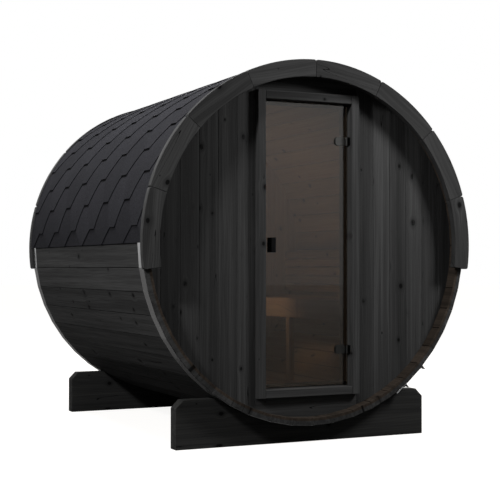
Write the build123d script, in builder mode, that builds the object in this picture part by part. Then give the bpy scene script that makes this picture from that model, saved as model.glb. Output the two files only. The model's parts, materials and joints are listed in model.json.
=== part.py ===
"""Barrel sauna: a coopered timber cabin on two saddled cradles, with a glass door in its front.

The front faces -Y, +X is to the right of a person facing the door, and +Z is up. The origin
is on the ground, at the centre of the footprint. All sizes are in millimetres.
"""

import os
from math import cos, pi, sin, sqrt, tan

from build123d import *

# Barrel: flat staves with bevelled sides round a horizontal axis
stave_count = 48
barrel_radius = 1030.0
barrel_length = 2200.0
stave_thickness = 40.0
stave_gap = 0.5
stave_outer_chamfer = 2.5
stave_inner_chamfer = 2.0
tongue_width = 16.0
tongue_tip_width = 10.0
tongue_height = 8.0
ground_clearance = 104.0
panel_names = [
    "right_upper",
    "top_right",
    "top_left",
    "left_upper",
    "left_lower",
    "bottom_left",
    "bottom_right",
    "right_lower",
]

# End walls: many-sided discs held in a groove cut across every stave
wall_thickness = 44.0
wall_recess = 75.0
groove_depth = 10.0
groove_clearance = 1.0

# Door frame, set in the front wall and standing proud of it
frame_width = 658.0
frame_rim_clearance = 58.6
frame_member = 50.0
frame_proud = 37.0
frame_depth = 120.0
frame_edge_chamfer = 2.5
stop_width = 20.0
sill_fall = 4.0

# Glass leaf and its fittings
glass_thickness = 8.0
glass_setback = 54.0
leaf_gap = 5.0
stop_gap = 7.0
hinge_top_distance = 211.0
hinge_bottom_distance = 203.0
pin_radius = 4.0
pin_clearance = 0.05
pin_inset = 13.0
pin_standoff = 12.0
knuckle_radius = 8.0
knuckle_height = 36.0
ear_height = 5.0
ear_gap = 1.0
clamp_length = 80.0
clamp_height = 50.0
clamp_thickness = 8.0
clamp_round = 18.0
clamp_back_thickness = 5.0
clamp_back_length = 56.0
clamp_ear_space = 4.0
clamp_bolt_radius = 5.0
bolt_hole_clearance = 0.5
bracket_thickness = 3.0
bracket_width = 40.0
handle_width = 32.0
handle_height = 84.0
handle_depth = 25.0
handle_edge_inset = 40.0
handle_drop = 6.0
handle_chamfer = 3.0
handle_bolt_spacing = 50.0
handle_bolt_radius = 4.0

# Steel hoops and their tensioners
hoop_width = 70.0
hoop_thickness = 1.5
hoop_inset = 8.0
tensioner_angle = -48.3
tensioner_span = 8.4
hoop_ear_height = 30.0
hoop_ear_thickness = 3.0
rod_radius = 5.0
rod_height = 18.0
rod_tail = 70.0
rod_clearance = 0.5
rod_head_overhang = 12.0
nut_width = 17.0
nut_thickness = 8.0

# Roof covering over the upper half of the barrel
roof_thickness = 6.0

# Fascia: curved boards over the stave ends, from below the eave on one side to the other
fascia_boards_per_side = 4
fascia_drop_angle = 8.0
fascia_overhang = 16.0
fascia_width = 99.0
fascia_thickness = 42.0
fascia_joint_gap = 1.5
fascia_corner_round = 12.0

# Cradles under the barrel
cradle_width = 1600.0
cradle_height = 272.0
cradle_thickness = 78.0
cradle_inset = 100.0
cradle_corner = 45.0

# Floor inside the cabin
floor_rise = 104.0
floor_thickness = 22.0
bearer_count = 4
bearer_width = 45.0
bearer_end_distance = 60.0

# Bench along the right-hand side
seat_height = 547.0
seat_rim_gap = 14.0
slat_thickness = 28.0
seat_slat_count = 4
seat_slat_width = 110.0
seat_slat_gap = 12.0
slat_chamfer = 3.0
apron_height = 129.0
leg_width = 38.0
leg_length = 48.0
bench_bearer_height = 45.0
bench_bearer_width = 45.0
bench_bearer_count = 3

# Backrest above the bench
backrest_rise = 31.0
backrest_stand_off = 67.0
backrest_thickness = 22.0
backrest_slat_count = 5
backrest_slat_height = 50.0
backrest_slat_gap = 10.0
backrest_end_gap = 70.0
bracket_count = 3
backrest_bracket_width = 28.0
bracket_spacing = 700.0

# Barrel and walls, worked out from the sizes above
stave_pitch = 360.0 / stave_count
half_pitch = pi / stave_count
outer_apothem = barrel_radius * cos(half_pitch)
inner_apothem = outer_apothem - stave_thickness
axis_height = barrel_radius + ground_clearance
barrel_front = -barrel_length / 2
wall_front = barrel_front + wall_recess
wall_back = wall_front + wall_thickness
wall_apothem = inner_apothem + groove_depth - groove_clearance
cabin_length = -2 * wall_back

# Door frame and leaf: the frame's corners keep their clearance inside the staves
frame_half_height = sqrt((inner_apothem - frame_rim_clearance) ** 2 - (frame_width / 2) ** 2)
frame_bottom = axis_height - frame_half_height
frame_top = axis_height + frame_half_height
frame_front = wall_front - frame_proud
frame_back = frame_front + frame_depth
opening_half = frame_width / 2 - frame_member
opening_bottom = frame_bottom + frame_member
opening_top = frame_top - frame_member
glass_front = frame_front + glass_setback
glass_back = glass_front + glass_thickness
stop_front = glass_back + stop_gap
leaf_half = opening_half - leaf_gap
leaf_bottom = opening_bottom + leaf_gap
leaf_top = opening_top - leaf_gap
hinge_heights = (leaf_bottom + hinge_bottom_distance, leaf_top - hinge_top_distance)
pin_x = opening_half - pin_inset
pin_y = glass_front - pin_standoff
handle_x = -leaf_half + handle_edge_inset + handle_width / 2
handle_z = (leaf_bottom + leaf_top) / 2 - handle_drop

# Hoops: the tensioner rod runs along a tangent, through the ears
hoop_apothem = outer_apothem + hoop_thickness
hoop_front = barrel_front + hoop_inset
rod_axis_radius = outer_apothem + rod_height
ear_distance = 2 * rod_axis_radius * tan(tensioner_span * pi / 360)
rod_length = ear_distance + rod_tail + rod_head_overhang

# Floor, bench and backrest, set by the curve of the staves behind them
floor_top = axis_height - inner_apothem + floor_rise
seat_top = floor_top + seat_height
seat_bottom = seat_top - slat_thickness
backrest_bottom = seat_top + backrest_rise
backrest_pitch = backrest_slat_height + backrest_slat_gap
backrest_height = backrest_slat_count * backrest_pitch - backrest_slat_gap


def stave_reach(height):
    """Distance from the middle of the cabin to the inside of the staves at a height."""
    return sqrt(inner_apothem**2 - (height - axis_height) ** 2)


seat_back = stave_reach(seat_bottom) - seat_rim_gap
slat_front = seat_back - seat_slat_count * (seat_slat_width + seat_slat_gap) + seat_slat_gap
bench_front = slat_front - slat_thickness
backrest_back = stave_reach(backrest_bottom) - backrest_stand_off
backrest_front = backrest_back - backrest_thickness


def across(y):
    """Plane across the barrel at y: its x is +X, its y is +Z, and its centre is on the axis."""
    return Plane(origin=(0, y, axis_height), x_dir=(1, 0, 0), z_dir=(0, -1, 0))


def upright(y):
    """Plane across the barrel at y with its centre on the ground."""
    return Plane(origin=(0, y, 0), x_dir=(1, 0, 0), z_dir=(0, -1, 0))


def polar_point(radius, degrees):
    """Point at a radius from the barrel's axis and an angle above +X."""
    return (radius * cos(degrees * pi / 180), radius * sin(degrees * pi / 180))


def barrel_outline(apothem, mode=Mode.ADD):
    """Many-sided outline of the barrel, one flat a stave, at a distance from its axis."""
    return RegularPolygon(apothem, stave_count, major_radius=False, mode=mode)


def save(part, name):
    """Label a finished piece and write its file."""
    part.label = name
    export_step(part, f"parts/{name}.step")


def stave_section():
    """Section of one stave, square to +X, with a tapered tongue on top and its groove below.

    The bevelled sides meet the neighbouring staves all round the barrel, so the groove repeats
    the tongue as the next stave's side carries it, with the gap between them.
    """
    middle = inner_apothem + stave_thickness / 2
    outer_bevel = outer_apothem - stave_outer_chamfer
    inner_bevel = inner_apothem + stave_inner_chamfer
    tongue = [
        (tongue_width / 2, 0),
        (tongue_tip_width / 2, tongue_height),
        (-tongue_tip_width / 2, tongue_height),
        (-tongue_width / 2, 0),
    ]

    def side(radius):
        """Half the stave's width at a distance from the barrel's axis."""
        return radius * tan(half_pitch) - stave_gap / 2 / cos(half_pitch)

    def upper(along, rise):
        """Point along the upper side from its middle, raised off it."""
        return (
            middle + along * cos(half_pitch) - rise * sin(half_pitch),
            side(middle) + along * sin(half_pitch) + rise * cos(half_pitch),
        )

    def lower(along, rise):
        """Point along the lower side from its middle, sunk into it."""
        return (
            middle + along * cos(half_pitch) + rise * sin(half_pitch),
            -side(middle) - along * sin(half_pitch) + rise * cos(half_pitch),
        )

    with BuildSketch() as section:
        with BuildLine():
            Polyline(
                *[upper(along, rise) for along, rise in tongue],
                (inner_bevel, side(inner_bevel)),
                (inner_apothem, side(inner_apothem) - stave_inner_chamfer),
                (inner_apothem, stave_inner_chamfer - side(inner_apothem)),
                (inner_bevel, -side(inner_bevel)),
                *[lower(along, rise) for along, rise in reversed(tongue)],
                (outer_bevel, -side(outer_bevel)),
                (outer_apothem, stave_outer_chamfer - side(outer_apothem)),
                (outer_apothem, side(outer_apothem) - stave_outer_chamfer),
                (outer_bevel, side(outer_bevel)),
                close=True,
            )
        make_face()
    return section.sketch


def fascia_section():
    """Outline of one fascia board, centred on +X, its outer corners rounded."""
    outer_radius = barrel_radius + fascia_overhang
    inner_radius = outer_radius - fascia_width
    with BuildSketch() as section:
        outer_turn = (segment_angle - fascia_joint_gap / outer_radius * 180 / pi) / 2
        inner_turn = (segment_angle - fascia_joint_gap / inner_radius * 180 / pi) / 2
        outer_ends = (polar_point(outer_radius, -outer_turn), polar_point(outer_radius, outer_turn))
        inner_ends = (polar_point(inner_radius, -inner_turn), polar_point(inner_radius, inner_turn))
        with BuildLine():
            ThreePointArc(outer_ends[0], (outer_radius, 0), outer_ends[1])
            Line(outer_ends[1], inner_ends[1])
            ThreePointArc(inner_ends[1], (inner_radius, 0), inner_ends[0])
            Line(inner_ends[0], outer_ends[0])
        make_face()
        fillet(section.vertices().group_by(Axis.X)[-1], radius=fascia_corner_round)
    return section.sketch


os.makedirs("parts", exist_ok=True)

# Staves, in eight panels, each stave a solid of its own
stave_profile = stave_section()
for index, panel_name in enumerate(panel_names):
    first_stave = round(index * stave_count / len(panel_names))
    staves = round((index + 1) * stave_count / len(panel_names)) - first_stave
    first_angle = (first_stave + 1 / 2) * stave_pitch
    with BuildPart() as stave_panel:
        with BuildSketch(across(barrel_front)):
            with PolarLocations(0, staves, first_angle, staves * stave_pitch):
                add(stave_profile)
        extrude(amount=-barrel_length)
        for groove_front in (wall_front, -wall_back):
            with BuildSketch(across(groove_front)):
                barrel_outline(inner_apothem + groove_depth)
                barrel_outline(inner_apothem - groove_depth, mode=Mode.SUBTRACT)
            extrude(amount=-wall_thickness, mode=Mode.SUBTRACT)
    save(stave_panel.part, f"staves_{panel_name}")

# Front wall, split beside, over and under the door frame
side_width = 2 * barrel_radius
for side, name in ((-1, "front_wall_left"), (1, "front_wall_right")):
    with BuildPart() as wall_side:
        with BuildSketch(across(wall_front)):
            barrel_outline(wall_apothem)
            with Locations((side * (frame_width + side_width) / 2, 0)):
                Rectangle(side_width, 2 * barrel_radius, mode=Mode.INTERSECT)
        extrude(amount=-wall_thickness)
    save(wall_side.part, name)

for side, name in ((1, "front_wall_over_door"), (-1, "front_wall_under_door")):
    with BuildPart() as wall_strip:
        with BuildSketch(across(wall_front)):
            barrel_outline(wall_apothem)
            with Locations((0, side * (frame_half_height + barrel_radius / 2))):
                Rectangle(frame_width, barrel_radius, mode=Mode.INTERSECT)
        extrude(amount=-wall_thickness)
    save(wall_strip.part, name)

# Rear wall
with BuildPart() as rear_wall:
    with BuildSketch(across(-wall_back)):
        barrel_outline(wall_apothem)
    extrude(amount=-wall_thickness)
save(rear_wall.part, "rear_wall")

# Door frame: rebated jambs, head and sill
with BuildPart() as door_jamb_right:
    with BuildSketch(Plane.XY.offset(frame_bottom)):
        with BuildLine():
            Polyline(
                (opening_half, frame_front),
                (frame_width / 2, frame_front),
                (frame_width / 2, frame_back),
                (opening_half - stop_width, frame_back),
                (opening_half - stop_width, stop_front),
                (opening_half, stop_front),
                close=True,
            )
        make_face()
    extrude(amount=2 * frame_half_height)
    front_edges = door_jamb_right.edges().filter_by(Axis.Z).group_by(Axis.Y)[0]
    chamfer(front_edges, length=frame_edge_chamfer)
save(door_jamb_right.part, "door_jamb_right")

with BuildPart() as door_jamb_left:
    mirror(door_jamb_right.part, about=Plane.YZ)
save(door_jamb_left.part, "door_jamb_left")

# Places of the jambs' stops, which the ends of the head and the sill leave free
stop_depth = frame_back - stop_front
with BuildSketch(Plane.XY.offset(frame_bottom)) as jamb_stops:
    with Locations((0, stop_front + stop_depth / 2)):
        with GridLocations(2 * opening_half - stop_width, 0, 2, 1):
            Rectangle(stop_width, stop_depth)

with BuildPart() as door_head:
    with BuildSketch(Plane.YZ.offset(-opening_half)):
        with BuildLine():
            Polyline(
                (frame_front, opening_top),
                (frame_front, frame_top),
                (frame_back, frame_top),
                (frame_back, opening_top - stop_width),
                (stop_front, opening_top - stop_width),
                (stop_front, opening_top),
                close=True,
            )
        make_face()
    extrude(amount=2 * opening_half)
    front_edges = door_head.edges().filter_by(Axis.X).group_by(Axis.Y)[0]
    chamfer(front_edges, length=frame_edge_chamfer)
    extrude(jamb_stops.sketch, amount=2 * frame_half_height, mode=Mode.SUBTRACT)
save(door_head.part, "door_head")

with BuildPart() as door_sill:
    with BuildSketch(Plane.YZ.offset(-opening_half)):
        with BuildLine():
            Polyline(
                (frame_front, frame_bottom),
                (frame_front, opening_bottom - sill_fall),
                (stop_front, opening_bottom),
                (stop_front, opening_bottom + stop_width),
                (frame_back, opening_bottom + stop_width),
                (frame_back, frame_bottom),
                close=True,
            )
        make_face()
    extrude(amount=2 * opening_half)
    front_edges = door_sill.edges().filter_by(Axis.X).group_by(Axis.Y)[0]
    chamfer(front_edges, length=frame_edge_chamfer)
    extrude(jamb_stops.sketch, amount=2 * frame_half_height, mode=Mode.SUBTRACT)
save(door_sill.part, "door_sill")

# Glass leaf, bored for its hinge clamps and handle
clamp_left = leaf_half - clamp_length
clamp_bolt_x = clamp_left + clamp_back_length / 2
with BuildPart() as door_glass:
    with BuildSketch(upright(glass_front)):
        with Locations((0, (leaf_bottom + leaf_top) / 2)):
            Rectangle(2 * leaf_half, leaf_top - leaf_bottom)
        with Locations([(clamp_bolt_x, height) for height in hinge_heights]):
            Circle(clamp_bolt_radius + bolt_hole_clearance, mode=Mode.SUBTRACT)
        with Locations((handle_x, handle_z)):
            with GridLocations(0, handle_bolt_spacing, 1, 2):
                Circle(handle_bolt_radius + bolt_hole_clearance, mode=Mode.SUBTRACT)
    extrude(amount=-glass_thickness)
save(door_glass.part, "door_glass")

# Hinge clamps, a plate on each face of the glass, with the knuckle on the outer plate
plate_right = pin_x - knuckle_radius - clamp_ear_space
with BuildPart() as hinge_clamps:
    for height in hinge_heights:
        for face, right, thickness in (
            (glass_front, plate_right, clamp_thickness),
            (glass_back, clamp_left + clamp_back_length, -clamp_back_thickness),
        ):
            with BuildSketch(upright(face)):
                with Locations(((clamp_left + right) / 2, height)):
                    plate = Rectangle(right - clamp_left, clamp_height)
                fillet(plate.vertices().group_by(Axis.X)[0], radius=clamp_round)
            extrude(amount=thickness)
        with BuildSketch(upright(glass_front)):
            with Locations((clamp_bolt_x, height)):
                Circle(clamp_bolt_radius)
        extrude(amount=-glass_thickness)
        with BuildSketch(Plane.XY.offset(height - knuckle_height / 2)):
            with Locations((pin_x, pin_y)):
                Circle(knuckle_radius)
            with Locations(((plate_right + pin_x) / 2, glass_front - clamp_thickness / 2)):
                Rectangle(pin_x - plate_right, clamp_thickness)
            with Locations((pin_x, pin_y)):
                Circle(pin_radius + pin_clearance, mode=Mode.SUBTRACT)
        extrude(amount=knuckle_height)
save(hinge_clamps.part, "hinge_clamps")

# Hinge brackets on the right jamb, each with a pin between two ears
ear_offset = knuckle_height / 2 + ear_gap
bracket_x = opening_half - bracket_thickness
with BuildPart() as hinge_brackets:
    for height in hinge_heights:
        with BuildSketch(Plane.XY.offset(height - clamp_height / 2)):
            with Locations((opening_half - bracket_thickness / 2, pin_y)):
                Rectangle(bracket_thickness, bracket_width)
        extrude(amount=clamp_height)
        for ear_bottom in (height + ear_offset, height - ear_offset - ear_height):
            with BuildSketch(Plane.XY.offset(ear_bottom)):
                with Locations((pin_x, pin_y)):
                    Circle(knuckle_radius)
                with Locations(((pin_x + bracket_x) / 2, pin_y)):
                    Rectangle(bracket_x - pin_x, 2 * knuckle_radius)
            extrude(amount=ear_height)
        with BuildSketch(Plane.XY.offset(height - ear_offset)):
            with Locations((pin_x, pin_y)):
                Circle(pin_radius)
        extrude(amount=2 * ear_offset)
save(hinge_brackets.part, "hinge_brackets")

# Handle: a block on each face of the glass, joined by two bolts through it
with BuildPart() as door_handle:
    for face, depth in ((glass_front, handle_depth), (glass_back, -handle_depth)):
        with BuildSketch(upright(face)):
            with Locations((handle_x, handle_z)):
                Rectangle(handle_width, handle_height)
        extrude(amount=depth)
    edges_by_depth = door_handle.edges().group_by(Axis.Y)
    chamfer(edges_by_depth[0] + edges_by_depth[-1], length=handle_chamfer)
    with BuildSketch(upright(glass_front)):
        with Locations((handle_x, handle_z)):
            with GridLocations(0, handle_bolt_spacing, 1, 2):
                Circle(handle_bolt_radius)
    extrude(amount=-glass_thickness)
save(door_handle.part, "door_handle")

# Plane at the middle of the tensioner: x along the cabin, y outwards, z along the rod
rod_x, rod_z = polar_point(rod_axis_radius, tensioner_angle)
rod_plane = Plane(
    origin=(rod_x, hoop_front + hoop_width / 2, axis_height + rod_z),
    x_dir=(0, 1, 0),
    z_dir=(sin(tensioner_angle * pi / 180), 0, -cos(tensioner_angle * pi / 180)),
)

# Steel hoops, their ends turned outwards as ears, slotted for the tensioner rod
slot_width = 2 * (rod_radius + rod_clearance)
slot_height = hoop_ear_height - rod_height + slot_width
with BuildPart() as front_hoop:
    with BuildSketch(across(hoop_front)):
        barrel_outline(hoop_apothem)
        with BuildLine():
            Polyline(
                (0, 0),
                polar_point(2 * barrel_radius, tensioner_angle + tensioner_span / 2),
                polar_point(2 * barrel_radius, tensioner_angle - tensioner_span / 2),
                close=True,
            )
        make_face(mode=Mode.SUBTRACT)
        with PolarLocations(0, 1, tensioner_angle):
            with Locations((outer_apothem, -ear_distance / 2), (outer_apothem, ear_distance / 2)):
                Rectangle(2 * hoop_ear_height, hoop_ear_thickness)
        barrel_outline(outer_apothem, mode=Mode.SUBTRACT)
    extrude(amount=-hoop_width)
    with BuildSketch(rod_plane):
        with Locations((0, (slot_height - slot_width) / 2)):
            Rectangle(slot_width, slot_height)
    extrude(amount=rod_length, both=True, mode=Mode.SUBTRACT)
save(front_hoop.part, "front_hoop")

with BuildPart() as rear_hoop:
    mirror(front_hoop.part, about=Plane.XZ)
save(rear_hoop.part, "rear_hoop")

# Tensioner rod through both ears, with a nut outside each
nut_offset = (ear_distance + hoop_ear_thickness) / 2
with BuildPart() as front_tensioner:
    with BuildSketch(rod_plane.offset(-ear_distance / 2 - rod_head_overhang)):
        Circle(rod_radius)
    extrude(amount=rod_length)
    for nut_start in (nut_offset, -nut_offset - nut_thickness):
        with BuildSketch(rod_plane.offset(nut_start)):
            RegularPolygon(nut_width / 2, 6, major_radius=False)
        extrude(amount=nut_thickness)
save(front_tensioner.part, "front_hoop_tensioner")

with BuildPart() as rear_tensioner:
    mirror(front_tensioner.part, about=Plane.XZ)
save(rear_tensioner.part, "rear_hoop_tensioner")

# Roof covering, one sheet each side of the ridge, over the hoops
for side, name in ((-1, "roof_left"), (1, "roof_right")):
    with BuildPart() as roof:
        with BuildSketch(across(barrel_front)):
            barrel_outline(hoop_apothem + roof_thickness)
            barrel_outline(hoop_apothem, mode=Mode.SUBTRACT)
            with Locations((side * barrel_radius, barrel_radius)):
                Rectangle(2 * barrel_radius, 2 * barrel_radius, mode=Mode.INTERSECT)
        extrude(amount=-barrel_length)
    save(roof.part, name)

# Fascia boards: curved segments on the stave ends, as many on each side of the top
segment_angle = (90.0 + fascia_drop_angle) / fascia_boards_per_side
fascia_profile = fascia_section()
for first_end, side in ((-fascia_drop_angle, "right"), (90.0, "left")):
    first_angle = first_end + segment_angle / 2
    side_angle = fascia_boards_per_side * segment_angle
    with BuildPart() as front_fascia:
        with BuildSketch(across(barrel_front)):
            with PolarLocations(0, fascia_boards_per_side, first_angle, side_angle):
                add(fascia_profile)
        extrude(amount=fascia_thickness)
    save(front_fascia.part, f"front_fascia_{side}")
    with BuildPart() as rear_fascia:
        mirror(front_fascia.part, about=Plane.XZ)
    save(rear_fascia.part, f"rear_fascia_{side}")

# Cradles, each saddled to the flats of the barrel
with BuildPart() as front_cradle:
    with BuildSketch(upright(barrel_front + cradle_inset)):
        with BuildLine():
            Polyline(
                (-cradle_width / 2, 0),
                (cradle_width / 2, 0),
                (cradle_width / 2, cradle_height - cradle_corner),
                (cradle_width / 2 - cradle_corner, cradle_height),
                (cradle_corner - cradle_width / 2, cradle_height),
                (-cradle_width / 2, cradle_height - cradle_corner),
                close=True,
            )
        make_face()
        with Locations((0, axis_height)):
            barrel_outline(outer_apothem, mode=Mode.SUBTRACT)
    extrude(amount=-cradle_thickness)
save(front_cradle.part, "front_cradle")

with BuildPart() as rear_cradle:
    mirror(front_cradle.part, about=Plane.XZ)
save(rear_cradle.part, "rear_cradle")

# Floor deck and the bearers under it, both cut to the curve of the staves
with BuildPart() as floor_deck:
    with BuildSketch(across(wall_back)):
        barrel_outline(inner_apothem)
        with Locations((0, floor_top - floor_thickness / 2 - axis_height)):
            Rectangle(2 * inner_apothem, floor_thickness, mode=Mode.INTERSECT)
    extrude(amount=-cabin_length)
save(floor_deck.part, "floor_deck")

bearer_step = (cabin_length - 2 * bearer_end_distance - bearer_width) / (bearer_count - 1)
with BuildPart() as floor_bearers:
    for index in range(bearer_count):
        with BuildSketch(across(wall_back + bearer_end_distance + index * bearer_step)):
            barrel_outline(inner_apothem)
            with Locations((0, floor_top - floor_thickness - axis_height - inner_apothem)):
                Rectangle(2 * inner_apothem, 2 * inner_apothem, mode=Mode.INTERSECT)
        extrude(amount=-bearer_width)
save(floor_bearers.part, "floor_bearers")

# Bench: slatted seat on cross bearers, with an apron along its front and one leg at its middle
with BuildPart() as bench_apron:
    with BuildSketch(upright(wall_back)):
        with Locations((bench_front + slat_thickness / 2, seat_top - apron_height / 2)):
            Rectangle(slat_thickness, apron_height)
    extrude(amount=-cabin_length)
    chamfer(bench_apron.edges().filter_by(Axis.Y), length=slat_chamfer)
save(bench_apron.part, "bench_apron")

with BuildPart() as bench_seat:
    with BuildSketch(upright(wall_back)):
        with Locations(((slat_front + seat_back) / 2, seat_top - slat_thickness / 2)):
            with GridLocations(seat_slat_width + seat_slat_gap, 0, seat_slat_count, 1):
                Rectangle(seat_slat_width, slat_thickness)
    extrude(amount=-cabin_length)
    chamfer(bench_seat.edges().filter_by(Axis.Y), length=slat_chamfer)
save(bench_seat.part, "bench_seat")

bench_step = (cabin_length - bench_bearer_width) / (bench_bearer_count - 1)
bench_bearer_middle = seat_bottom - bench_bearer_height / 2
with BuildPart() as bench_bearers:
    for index in range(bench_bearer_count):
        with BuildSketch(across(wall_back + index * bench_step)):
            barrel_outline(inner_apothem)
            with Locations((slat_front + inner_apothem / 2, bench_bearer_middle - axis_height)):
                Rectangle(inner_apothem, bench_bearer_height, mode=Mode.INTERSECT)
        extrude(amount=-bench_bearer_width)
save(bench_bearers.part, "bench_bearers")

leg_height = seat_top - apron_height - floor_top
with BuildPart() as bench_leg:
    with BuildSketch(across(-leg_length / 2)):
        barrel_outline(inner_apothem)
        with Locations((bench_front + leg_width / 2, floor_top + leg_height / 2 - axis_height)):
            Rectangle(leg_width, leg_height, mode=Mode.INTERSECT)
    extrude(amount=-leg_length)
save(bench_leg.part, "bench_leg")

# Backrest: slats along the cabin on brackets cut to the curve of the staves
backrest_middle = backrest_bottom + backrest_height / 2
with BuildPart() as backrest_slats:
    with BuildSketch(upright(wall_back + backrest_end_gap)):
        with Locations((backrest_front + backrest_thickness / 2, backrest_middle)):
            with GridLocations(0, backrest_pitch, 1, backrest_slat_count):
                Rectangle(backrest_thickness, backrest_slat_height)
    extrude(amount=2 * backrest_end_gap - cabin_length)
    chamfer(backrest_slats.edges().filter_by(Axis.Y), length=slat_chamfer)
save(backrest_slats.part, "backrest_slats")

first_bracket = -(bracket_count - 1) / 2 * bracket_spacing - backrest_bracket_width / 2
with BuildPart() as backrest_brackets:
    for index in range(bracket_count):
        with BuildSketch(across(first_bracket + index * bracket_spacing)):
            barrel_outline(inner_apothem)
            with Locations((backrest_back + inner_apothem / 2, backrest_middle - axis_height)):
                Rectangle(inner_apothem, backrest_height, mode=Mode.INTERSECT)
        extrude(amount=-backrest_bracket_width)
save(backrest_brackets.part, "backrest_brackets")
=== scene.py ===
"""Looks of the barrel sauna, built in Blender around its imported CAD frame.

Everything is in metres, in the frame of the CAD: -Y is the front with the glass door, +Z is up and
the ground is at z = 0. Each sub-assembly is a class that makes or dresses its own pieces.
"""

import json
import logging
from collections.abc import Sequence
from dataclasses import dataclass, field
from enum import Enum
from math import cos, pi, radians, sin
from typing import Any

import bmesh
import bpy
from bpy.types import Material, Mesh, Node, NodeSocket, NodeTree, Object
from mathutils import Euler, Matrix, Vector

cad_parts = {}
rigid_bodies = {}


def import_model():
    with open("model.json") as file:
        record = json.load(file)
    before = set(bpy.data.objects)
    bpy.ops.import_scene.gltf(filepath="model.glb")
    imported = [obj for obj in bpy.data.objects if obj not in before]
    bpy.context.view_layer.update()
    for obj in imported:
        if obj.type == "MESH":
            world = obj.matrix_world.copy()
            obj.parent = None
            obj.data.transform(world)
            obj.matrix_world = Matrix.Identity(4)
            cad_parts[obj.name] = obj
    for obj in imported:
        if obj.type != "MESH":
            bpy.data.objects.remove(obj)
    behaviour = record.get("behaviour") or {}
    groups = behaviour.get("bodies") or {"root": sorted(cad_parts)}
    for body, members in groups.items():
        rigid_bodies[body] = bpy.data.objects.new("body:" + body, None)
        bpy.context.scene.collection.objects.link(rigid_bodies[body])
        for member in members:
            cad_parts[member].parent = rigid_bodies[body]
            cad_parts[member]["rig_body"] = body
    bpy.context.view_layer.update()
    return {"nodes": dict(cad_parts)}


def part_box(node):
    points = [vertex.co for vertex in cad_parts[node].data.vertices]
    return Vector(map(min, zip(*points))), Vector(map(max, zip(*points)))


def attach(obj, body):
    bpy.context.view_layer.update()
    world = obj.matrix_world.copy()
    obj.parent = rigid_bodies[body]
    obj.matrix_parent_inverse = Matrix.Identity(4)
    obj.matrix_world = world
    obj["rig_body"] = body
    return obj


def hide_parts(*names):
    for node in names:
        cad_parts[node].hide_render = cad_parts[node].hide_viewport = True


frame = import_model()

LOG = logging.getLogger("barrel_sauna")

AXIS_HEIGHT = 1.134  # centre line of the barrel above the ground
STAVE_COUNT = 48
STAVE_TURN = 2 * pi / STAVE_COUNT
ROOF_RADIUS = 1.0310  # outside of the hoops, which the felt lies on
BARREL_HALF_LENGTH = 1.1
STAVE_END_DEPTH = 0.003  # how far in from a sawn end the painted shade of a seam starts
WALL_MIDDLE = 1.003  # distance of both end walls' middle planes from the centre
CABIN_SIDE_RADIUS = 1.004  # between a stave's inner and its outer face
SHARP_BEND = radians(28)  # edges that bend more than this are eased
FELT_SHARP_BEND = radians(35)
SEAL_SHARP_BEND = radians(20)
SPECK_AREA = 1e-10  # faces smaller than this are left over from trimming

Feed = Any  # a constant, a node, a (node, output name) pair or a socket
Range = tuple[float, float]
Span = tuple[Range, Range]
UNIT: Range = (0.0, 1.0)


def linear(code: str) -> tuple[float, float, float, float]:
    """Turns an sRGB hex value into the linear colour that Blender's sockets take.

    Args:
        code: six hex digits, such as "2d2b2a".

    Returns:
        Linear red, green, blue and an alpha of 1.
    """
    parts = [int(code[i : i + 2], 16) / 255 for i in (0, 2, 4)]
    return (*[c / 12.92 if c <= 0.04045 else ((c + 0.055) / 1.055) ** 2.4 for c in parts], 1.0)


def connect(tree: NodeTree, node: Node, feeds: dict[int | str, Feed]) -> None:
    """Sets or links a node's inputs.

    Args:
        tree: the node's tree.
        node: the node.
        feeds: what goes into each input, by index or by the name of an enabled input.
    """
    for key, value in feeds.items():
        named = (s for s in node.inputs if s.name == key and s.enabled)
        into = node.inputs[key] if isinstance(key, int) else next(named)
        if isinstance(value, Node):
            value = next(s for s in value.outputs if s.enabled)
        elif isinstance(value, tuple) and isinstance(value[0], Node):
            value = value[0].outputs[value[1]]
        if isinstance(value, NodeSocket):
            tree.links.new(value, into)
        else:
            into.default_value = value


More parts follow.
